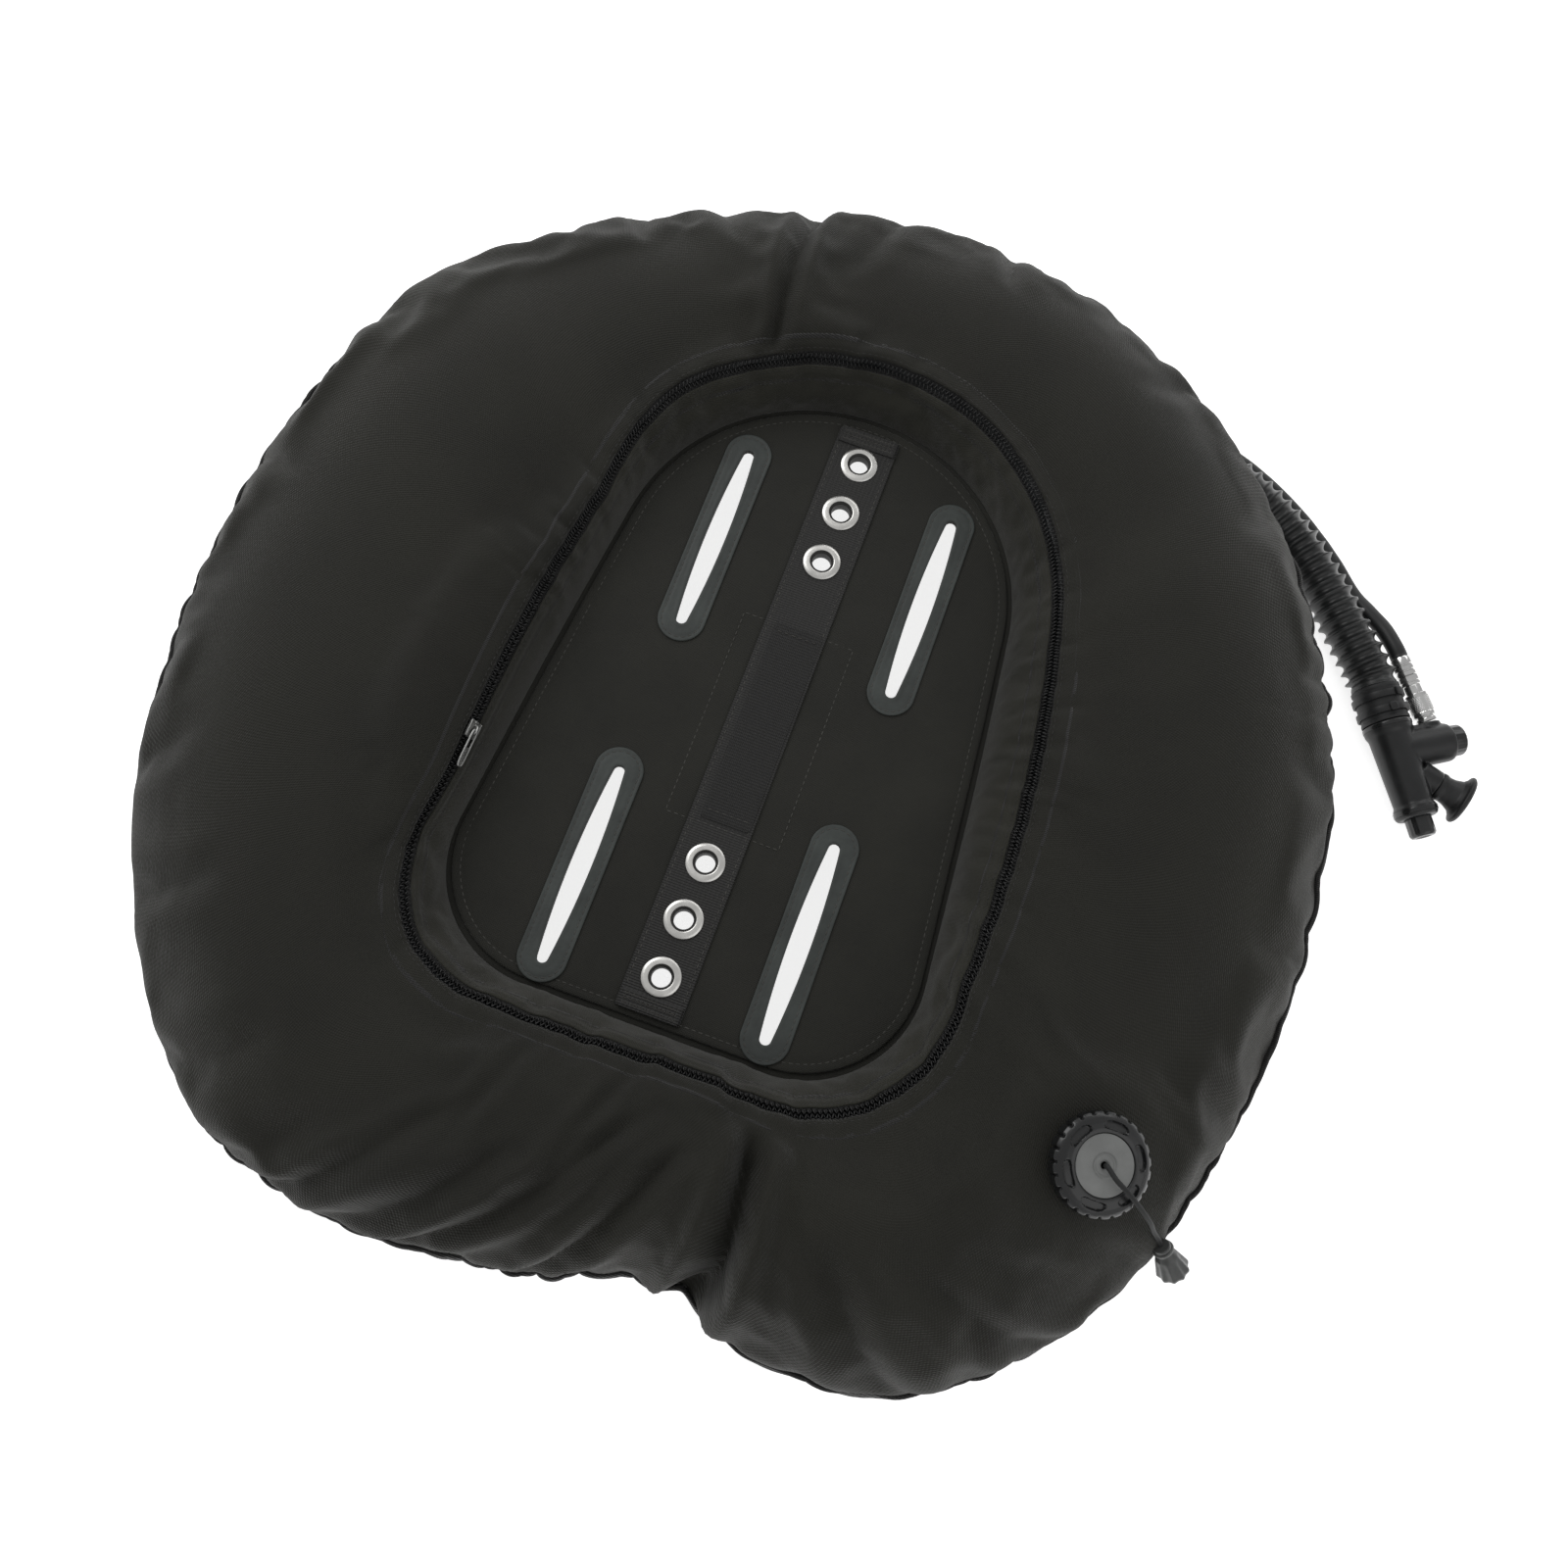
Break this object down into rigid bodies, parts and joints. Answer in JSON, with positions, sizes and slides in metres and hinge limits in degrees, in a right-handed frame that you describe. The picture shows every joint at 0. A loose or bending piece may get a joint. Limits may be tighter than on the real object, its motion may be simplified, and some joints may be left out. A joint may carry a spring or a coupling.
{
  "type": "buoyancy compensator wing",
  "caption": "Ring-shaped inflatable diving wing with slotted centre panel, ring zipper, corrugated hose with power inflator, low-pressure hose and pull dump valve.",
  "frame": {"origin": "centre of the bolt pattern on the upper face of the spine webbing", "axes": "+Z out of the diver's side, +Y to the head end, +X to the side that the inflator hose hangs on"},
  "size_m": [0.8119, 0.7258, 0.1508],
  "materials": {
    "cover_cloth": "tight plain-weave nylon, matt, very dark warm black",
    "panel_cloth": "heavier plain-weave nylon, matt",
    "zip_plastic": "woven tape with a moulded coil",
    "webbing": "flat ribbed webbing",
    "patch_rubber": "fine-grained rubbery sheet, slightly greenish dark grey",
    "eyelet_metal": "bright plated, lightly brushed",
    "bladder_film": "smooth film-coated cloth",
    "zip_metal": "darkened plated metal",
    "spring_steel": "drawn stainless wire",
    "fitting_chrome": "polished chrome plate on brass",
    "black_rubber": "satin moulded rubber",
    "grey_plastic": "satin light grey moulding",
    "black_plastic": "glossy black moulding with a fine grain"
  },
  "bodies": {
    "cover": {"front_shell": "cover_cloth", "back_shell": "cover_cloth", "inner_wall": "cover_cloth", "zip_tape_outer": "zip_plastic", "zip_tape_inner": "zip_plastic", "seam_binding": "webbing", "inner_bladder": "bladder_film", "centre_sheet": "panel_cloth", "centre_panel": "panel_cloth", "spine_webbing": "webbing", "webbing_tab_head": "webbing", "webbing_tab_tail": "webbing", "slot_patch_head_right": "patch_rubber", "slot_patch_head_left": "patch_rubber", "slot_patch_tail_right": "patch_rubber", "slot_patch_tail_left": "patch_rubber", "eyelet_1": "eyelet_metal", "eyelet_washer_1": "eyelet_metal", "eyelet_2": "eyelet_metal", "eyelet_washer_2": "eyelet_metal", "eyelet_3": "eyelet_metal", "eyelet_washer_3": "eyelet_metal", "eyelet_4": "eyelet_metal", "eyelet_washer_4": "eyelet_metal", "eyelet_5": "eyelet_metal", "eyelet_washer_5": "eyelet_metal", "eyelet_6": "eyelet_metal", "eyelet_washer_6": "eyelet_metal", "valve_seat": "black_plastic", "valve_gasket": "black_rubber", "valve_spring": "spring_steel", "valve_cap": "black_plastic", "valve_disc": "grey_plastic", "elbow_seat": "black_plastic", "elbow_gasket": "black_rubber", "elbow_collar": "black_plastic", "elbow": "black_plastic", "hose_cuff_elbow": "black_rubber", "hose_tie_elbow": "black_plastic", "inflator_body": "black_plastic", "inflate_spring": "spring_steel", "deflate_spring": "spring_steel", "mouthpiece": "black_rubber", "hose_cuff_inflator": "black_rubber", "hose_tie_inflator_1": "black_plastic", "hose_tie_inflator_2": "black_plastic", "inflator_nipple": "fitting_chrome", "coupler_body": "fitting_chrome", "hose_crimp": "fitting_chrome", "corrugated_hose": "black_rubber", "low_pressure_hose": "black_rubber", "hose_fitting": "fitting_chrome"},
    "zip_slider": {"zip_slider": "zip_metal"},
    "zip_pull": {"zip_pull": "zip_metal"},
    "valve_pull": {"valve_poppet": "black_rubber", "pull_cord": "black_rubber", "pull_knob": "black_plastic"},
    "inflate_button": {"inflate_button": "black_plastic"},
    "deflate_button": {"deflate_button": "black_plastic"},
    "coupler_sleeve": {"coupler_sleeve": "fitting_chrome"}
  },
  "joints": [
    {"name": "zip_slide", "type": "slide", "parent": "cover", "child": "zip_slider", "axis": [0.0332, 0.9994, 0], "range_m": [0, 0.04]},
    {"name": "zip_pull_flip", "type": "hinge", "parent": "zip_slider", "child": "zip_pull", "pos_m": [-0.15078, -0.0821, 0.02887], "axis": [-0.554, 0.0184, 0.8323], "range_deg": [0, 160]},
    {"name": "dump_pull", "type": "slide", "parent": "cover", "child": "valve_pull", "axis": [0.216, -0.0754, 0.9735], "range_m": [0, 0.0045], "stiffness_N_per_m": 900, "springref_m": -0.002, "deforming": ["valve_spring"]},
    {"name": "inflate_press", "type": "slide", "parent": "cover", "child": "inflate_button", "axis": [-0.849, -0.5284, 0], "range_m": [0, 0.004], "stiffness_N_per_m": 1200, "springref_m": -0.001, "deforming": ["inflate_spring"]},
    {"name": "deflate_press", "type": "slide", "parent": "cover", "child": "deflate_button", "axis": [-0.5284, 0.849, 0], "range_m": [0, 0.005], "stiffness_N_per_m": 1000, "springref_m": -0.001, "deforming": ["deflate_spring"]},
    {"name": "coupler_pull_back", "type": "slide", "parent": "cover", "child": "coupler_sleeve", "axis": [-0.6004, 0.7997, 0], "range_m": [0, 0.004], "stiffness_N_per_m": 1500, "springref_m": -0.001}
  ]
}
